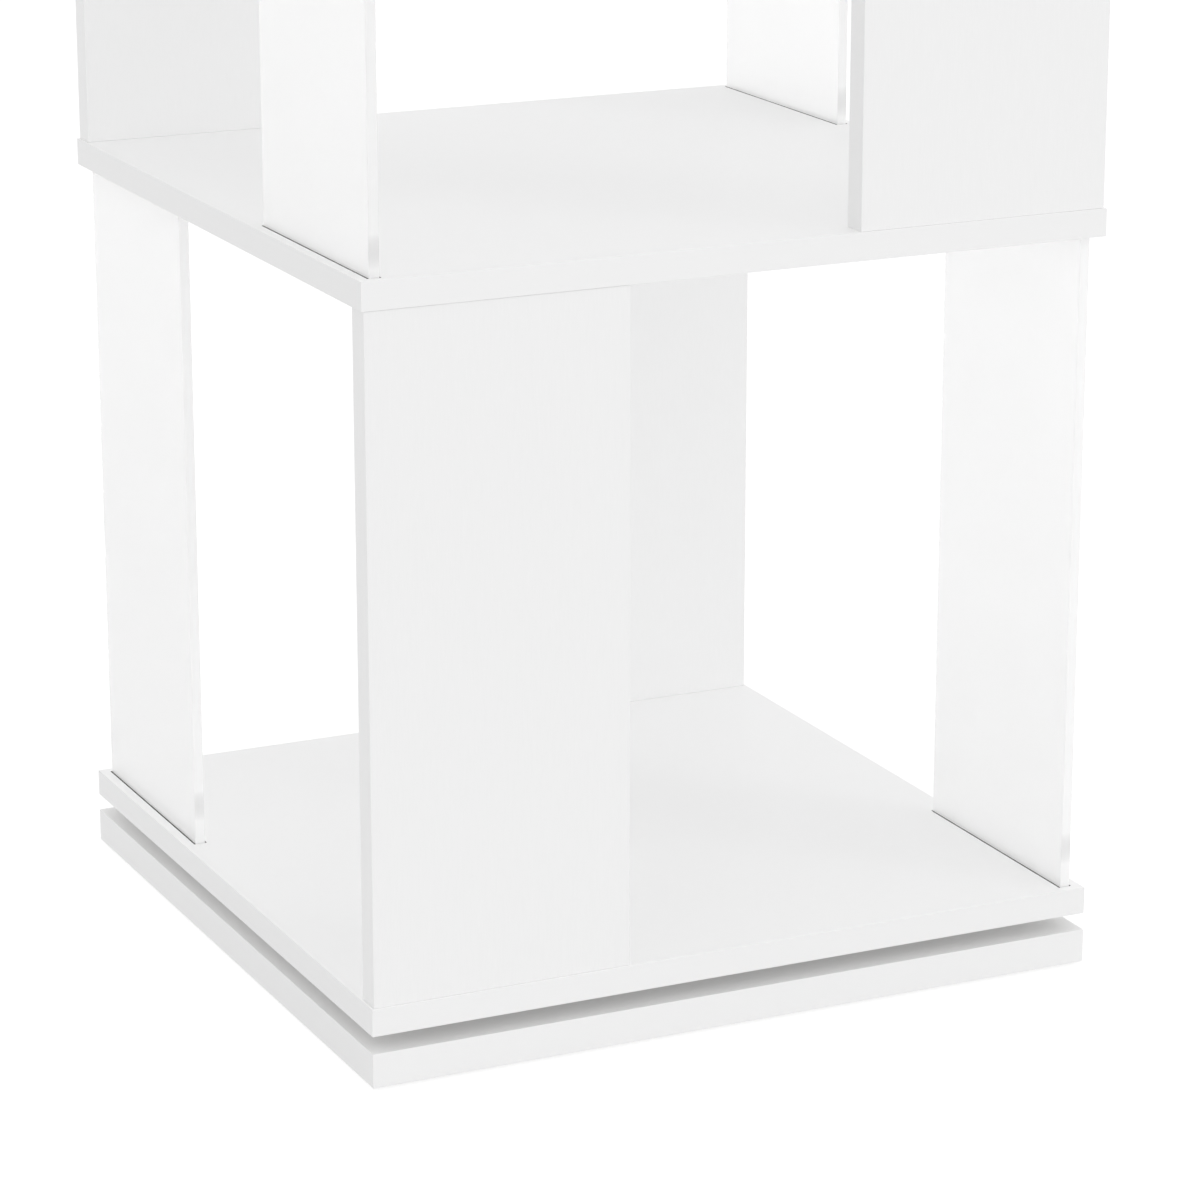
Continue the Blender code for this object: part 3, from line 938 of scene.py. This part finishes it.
class BOOKCASE_OT_make_sheets(bpy.types.Operator):
    """Make the milky clear sheets with their polished edges"""

    bl_idname = "bookcase.make_sheets"
    bl_label = "Clear sheets"

    def execute(self, context):
        sizes = context.scene.bookcase_sizes
        sheet = add_block(self.name_of(SHEETS[0]), *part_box(SHEETS[0]))
        set_finishes(sheet, "polished_acrylic_edge", "milky_acrylic")
        edit(sheet)
        round_edges(sizes.sheet_arris)
        pick(sheet, "FACE", largest_facing(sheet, ALONG_X))
        assign_picked(sheet, 1)
        stop_editing()
        smooth(sheet)
        declare_copies(sheet, SHEETS, self.name_of, "tower")
        return {"FINISHED"}

    @staticmethod
    def name_of(node):
        return node.replace("clear_panel", "clear_sheet")


class BOOKCASE_OT_make_bearing(bpy.types.Operator):
    """Make the swivel bearing's turned rings, moulded cage and polished balls"""

    bl_idname = "bookcase.make_bearing"
    bl_label = "Swivel bearing"

    def execute(self, context):
        sizes = context.scene.bookcase_sizes
        low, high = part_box(BALLS[0])
        ball = (low + high) / 2
        race = ball.x
        radius = (high.z - low.z) / 2
        half_gap = sizes.ring_gap / 2
        outer = self.ring("bearing_outer_ring", race + half_gap, race + half_gap + sizes.ring_width)
        inner = self.ring("bearing_inner_ring", race - half_gap - sizes.ring_width, race - half_gap)
        for ring in (outer, inner):
            deselect_all()
            bpy.ops.mesh.primitive_torus_add(
                major_segments=RING_SIDES,
                minor_segments=RACE_SEGMENTS,
                major_radius=race,
                minor_radius=radius + sizes.ball_play,
                location=(0, 0, ball.z),
            )
            combine(ring, settle(bpy.context.object, "race"), "DIFFERENCE")
        self.countersink(outer, OUTER_SCREWS, 1)
        self.countersink(inner, INNER_SCREWS, -1)
        rings = ((outer, "base", "bearing_outer_ring"), (inner, "tower", "bearing_inner_ring"))
        for ring, body, node in rings:
            set_finishes(ring, "turned_aluminium")
            declare(smooth(ring), body, node)
        self.make_cage(race, radius + sizes.ball_play)
        self.make_balls(ball, radius)
        return {"FINISHED"}

    @staticmethod
    def ring(node, inner, outer):
        """A flat ring with chamfered edges, bored by bridging its two inset ends."""
        low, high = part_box(node)
        chamfer = 0.0003
        made = add_post(f"{node}_finished", outer, Vector((0, 0, 0)), low.z, high.z, RING_SIDES)
        edit(made)
        pick(made, "FACE", lambda face: abs(face.normal.z) > TURNED_ALONG)
        bpy.ops.mesh.inset(thickness=outer - inner, depth=0)
        bpy.ops.mesh.bridge_edge_loops()

        def at_rim(edge):
            first, second = (point.co for point in edge.verts)
            radius = min(first.xy.length, second.xy.length)
            return abs(first.z - second.z) < NEAR and radius > outer - NEAR

        pick(made, "EDGE", at_rim)
        bpy.ops.mesh.bevel(offset=chamfer, segments=2, affect="EDGES")
        stop_editing()
        return made

    @staticmethod
    def countersink(ring, screws, up):
        """Drills the screws' holes, with the sinks at the top if up is 1 and at the bottom if it is -1."""
        low_z = min(point.co.z for point in ring.data.vertices)
        high_z = max(point.co.z for point in ring.data.vertices)
        head, past = 0.0041, 0.0002
        sink = head - SCREW_HOLE
        for screw in screws:
            place = middle_of(screw)
            hole = add_post("hole", SCREW_HOLE, place, low_z - OVERRUN, high_z + OVERRUN)
            combine(ring, hole, "DIFFERENCE")
            if up > 0:
                cone = add_cone("sink", SCREW_HOLE, head + past, place, high_z - sink, high_z + past)
            else:
                cone = add_cone("sink", head + past, SCREW_HOLE, place, low_z - past, low_z + sink)
            combine(ring, cone, "DIFFERENCE")

    def make_cage(self, race, pocket):
        node = "bearing_ball_cage"
        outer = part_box(node)[1].x
        cage = self.ring(node, 2 * race - outer, outer)
        reach = 8 * (outer - race)
        pockets = []
        for ball in BALLS:
            middle = middle_of(ball)
            turn = (0, math.pi / 2, math.atan2(middle.y, middle.x))
            pockets.append(add_cylinder("pocket", pocket, middle, reach, HOLE_SIDES, turn))
        combine(cage, join_pieces(pockets), "DIFFERENCE")
        set_finishes(cage, "natural_nylon")
        declare(smooth(cage), "ball_cage", node)

    @staticmethod
    def make_balls(middle, radius):
        deselect_all()
        bpy.ops.mesh.primitive_uv_sphere_add(segments=32, ring_count=16, radius=radius, location=middle)
        ball = settle(bpy.context.object, f"{BALLS[0]}_polished")
        set_finishes(ball, "ball_steel")
        declare_copies(smooth(ball), BALLS, lambda node: f"{node}_polished", "ball_cage")


class BOOKCASE_OT_make_screws(bpy.types.Operator):
    """Make the countersunk screws of both bearing rings"""

    bl_idname = "bookcase.make_screws"
    bl_label = "Ring screws"

    # How far each screw of a ring was left turned
    turns = (0.0, 0.6, 1.3, 2.1)

    def execute(self, context):
        sizes = context.scene.bookcase_sizes
        for nodes, body, up in ((OUTER_SCREWS, "base", 1), (INNER_SCREWS, "tower", -1)):
            screw = self.screw(self.name_of(nodes[0]), nodes[0], up, sizes)
            declare_copies(screw, nodes, self.name_of, body, self.turns)
        return {"FINISHED"}

    @staticmethod
    def name_of(node):
        return f"{node}_plated"

    @staticmethod
    def screw(name, node, up, sizes):
        """A screw with its head at the top where up is 1, and at the bottom where it is -1."""
        low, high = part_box(node)
        middle = (low + high) / 2
        face = high.z if up > 0 else low.z
        head, shank, core = 0.0038, 0.0020, 0.0014
        rim, plain, tip = 0.0003, 0.0060, 0.0017
        pitch = sizes.thread_pitch
        first, second = sorted((face, face - up * rim))
        screw = add_post(name, head, middle, first, second, SCREW_SIDES)
        edit(screw)
        pick(screw, "FACE", lambda side: side.normal.z * up < -TURNED_ALONG)
        taper = head - shank
        draw_out(-up * taper, shank / head, middle)
        draw_out(-up * plain, 1.0, middle)
        rest = (high.z - low.z) - rim - taper - plain - tip
        slope, root = 0.4 * pitch, 0.2 * pitch
        for _ in range(int(rest / pitch)):
            draw_out(-up * slope, core / shank, middle)
            draw_out(-up * root, 1.0, middle)
            draw_out(-up * slope, shank / core, middle)
        draw_out(-up * tip, 0.2, middle)
        stop_editing()
        long, short, recess, past = 0.0021, 0.00045, 0.0014, 0.001
        deep, over = sorted((face - up * recess, face + up * past))
        for reach_x, reach_y in ((long, short), (short, long)):
            low_corner = (middle.x - reach_x, middle.y - reach_y, deep)
            high_corner = (middle.x + reach_x, middle.y + reach_y, over)
            combine(screw, add_block("recess", low_corner, high_corner), "DIFFERENCE")
        set_finishes(screw, "zinc_plate")
        return smooth(screw)


class BOOKCASE_OT_make_glides(bpy.types.Operator):
    """Make the four moulded floor glides"""

    bl_idname = "bookcase.make_glides"
    bl_label = "Floor glides"

    def execute(self, context):
        sizes = context.scene.bookcase_sizes
        low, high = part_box(GLIDES[0])
        middle = (low + high) / 2
        radius = (high.x - low.x) / 2
        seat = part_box("base_plate")[0].z - sizes.seat_gap
        foot, rounding, stem, waist, barbs = 0.9, 0.0004, 0.0030, 0.86, 4
        glide = add_post(self.name_of(GLIDES[0]), radius, middle, low.z, seat, GLIDE_SIDES)
        edit(glide)
        pick(glide, "FACE", lambda face: face.normal.z < -TURNED_ALONG)
        bpy.ops.transform.resize(value=(foot, foot, 1), center_override=(middle.x, middle.y, 0))
        bpy.ops.mesh.bevel(offset=rounding, segments=ARRIS_SEGMENTS, affect="EDGES")
        pick(glide, "FACE", lambda face: face.normal.z > TURNED_ALONG)
        bpy.ops.mesh.inset(thickness=radius - stem, depth=0)
        barb = (high.z - seat) / barbs
        narrowing, widening = 0.7 * barb, 0.3 * barb
        for _ in range(barbs):
            draw_out(narrowing, waist, middle)
            draw_out(widening, 1 / waist, middle)
        stop_editing()
        set_finishes(glide, "dark_plastic")
        declare_copies(smooth(glide), GLIDES, self.name_of, "base")
        return {"FINISHED"}

    @staticmethod
    def name_of(node):
        return f"{node}_moulded"


class BOOKCASE_OT_set_stage(bpy.types.Operator):
    """Make the floor, the light and the camera"""

    bl_idname = "bookcase.set_stage"
    bl_label = "Studio"

    def execute(self, context):
        light = context.scene.bookcase_light
        self.make_floor(light.floor)
        self.light_sky(context.scene, light.sky)
        key_spread, fill_spread = math.radians(16), math.radians(20)
        self.add_sun("key_light", light.key, (0.56, -0.61, 0.56), key_spread, True)
        self.add_sun("front_fill_light", light.front_fill, (0.0, -1.0, 0.08), fill_spread, False)
        self.add_sun("left_fill_light", light.left_fill, (-1.0, 0.0, 0.08), fill_spread, False)
        self.add_sun("top_fill_light", light.top_fill, (0.0, 0.0, 1.0), fill_spread, False)
        self.add_sun("back_fill_light", light.back_fill, (0.70, 0.70, 0.10), fill_spread, False)
        self.add_camera(context.scene)
        context.scene.view_settings.view_transform = "Standard"
        return {"FINISHED"}

    @staticmethod
    def make_floor(colour):
        """A pale floor that shows as white where no shadow lies on it."""
        extent, dullness, brightness = 40, 0.36, 0.80
        deselect_all()
        bpy.ops.mesh.primitive_plane_add(size=extent, location=(0, 0, 0))
        floor = settle(bpy.context.object, "studio_floor")
        material = bpy.data.materials.new("studio_floor")
        material.use_nodes = True
        material.node_tree.nodes.clear()
        shade = Shade(material.node_tree)
        paint = shade.blend(shade.even_noise(30.0), tint(colour, 0.99), tint(colour, 1.0))
        plain = shade.node("ShaderNodeBsdfDiffuse", None, {"Color": paint})
        dull = shade.node("ShaderNodeBsdfDiffuse", None, {"Color": tint(colour, dullness)})
        white = {"Color": (1.0, 1.0, 1.0), "Strength": brightness}
        glow = shade.node("ShaderNodeEmission", None, white)
        bright = shade.node("ShaderNodeAddShader", None, {0: dull, 1: glow})
        surface = shade.node("ShaderNodeMixShader", None, {0: ray_mask(shade), 1: plain, 2: bright})
        shade.node("ShaderNodeOutputMaterial", None, {"Surface": surface})
        floor.data.materials.append(material)

    @staticmethod
    def light_sky(scene, level):
        """An even white sky, which shows as plain white."""
        world = bpy.data.worlds.new("studio_sky")
        world.use_nodes = True
        scene.world = world
        shade = Shade(world.node_tree)
        sockets = world.node_tree.nodes["Background"].inputs
        shade.feed(sockets["Strength"], level + ray_mask(shade) * (1.0 - level))
        shade.feed(sockets["Color"], (1.0, 1.0, 1.0))

    @staticmethod
    def add_sun(name, level, towards, spread, shadow):
        """A sun whose level is what it adds to a white face that looks straight at it."""
        lamp = bpy.data.lights.new(name, "SUN")
        lamp.energy = level * math.pi
        lamp.angle = spread
        lamp.use_shadow = shadow
        sun = bpy.data.objects.new(name, lamp)
        bpy.context.scene.collection.objects.link(sun)
        sun.rotation_euler = Vector(towards).to_track_quat("Z", "Y").to_euler()
        # A fill casts no shadow and leaves no gloss, so boards seen at a low angle stay off-white
        sun.visible_glossy = shadow

    @staticmethod
    def add_camera(scene):
        camera = bpy.data.objects.new("camera", bpy.data.cameras.new("camera"))
        scene.collection.objects.link(camera)
        camera.location = CAMERA_PLACE
        camera.rotation_euler = (math.pi / 2 - CAMERA_PITCH, 0, -CAMERA_AZIMUTH)
        camera.data.lens = CAMERA_LENS
        camera.data.sensor_width = 36.0
        camera.data.clip_end = 100.0
        scene.camera = camera


OPERATORS = (
    BOOKCASE_OT_make_base,
    BOOKCASE_OT_make_shelves,
    BOOKCASE_OT_make_white_uprights,
    BOOKCASE_OT_make_sheets,
    BOOKCASE_OT_make_bearing,
    BOOKCASE_OT_make_screws,
    BOOKCASE_OT_make_glides,
    BOOKCASE_OT_set_stage,
)


class BOOKCASE_PT_sidebar(bpy.types.Panel):
    """Sizes, colours and light of the bookcase, and a button for each group of pieces"""

    bl_idname = "BOOKCASE_PT_sidebar"
    bl_label = "Revolving bookcase"
    bl_space_type = "VIEW_3D"
    bl_region_type = "UI"
    bl_category = "Bookcase"

    def draw(self, context):
        column = self.layout.column()
        scene = context.scene
        for group in (scene.bookcase_sizes, scene.bookcase_colours, scene.bookcase_light):
            for name in group.__annotations__:
                column.prop(group, name)
        for operator in OPERATORS:
            column.operator(operator.bl_idname)


CLASSES = (BookcaseSizes, BookcaseColours, StudioLight, *OPERATORS, BOOKCASE_PT_sidebar)


def register():
    for item in CLASSES:
        bpy.utils.register_class(item)
    bpy.types.Scene.bookcase_sizes = PointerProperty(type=BookcaseSizes)
    bpy.types.Scene.bookcase_colours = PointerProperty(type=BookcaseColours)
    bpy.types.Scene.bookcase_light = PointerProperty(type=StudioLight)


def unregister():
    del bpy.types.Scene.bookcase_sizes
    del bpy.types.Scene.bookcase_colours
    del bpy.types.Scene.bookcase_light
    for item in reversed(CLASSES):
        bpy.utils.unregister_class(item)


def main():
    register()
    bpy.ops.bookcase.make_base()
    bpy.ops.bookcase.make_shelves()
    bpy.ops.bookcase.make_white_uprights()
    bpy.ops.bookcase.make_sheets()
    bpy.ops.bookcase.make_bearing()
    bpy.ops.bookcase.make_screws()
    bpy.ops.bookcase.make_glides()
    bpy.ops.bookcase.set_stage()


if __name__ == "__main__":
    main()
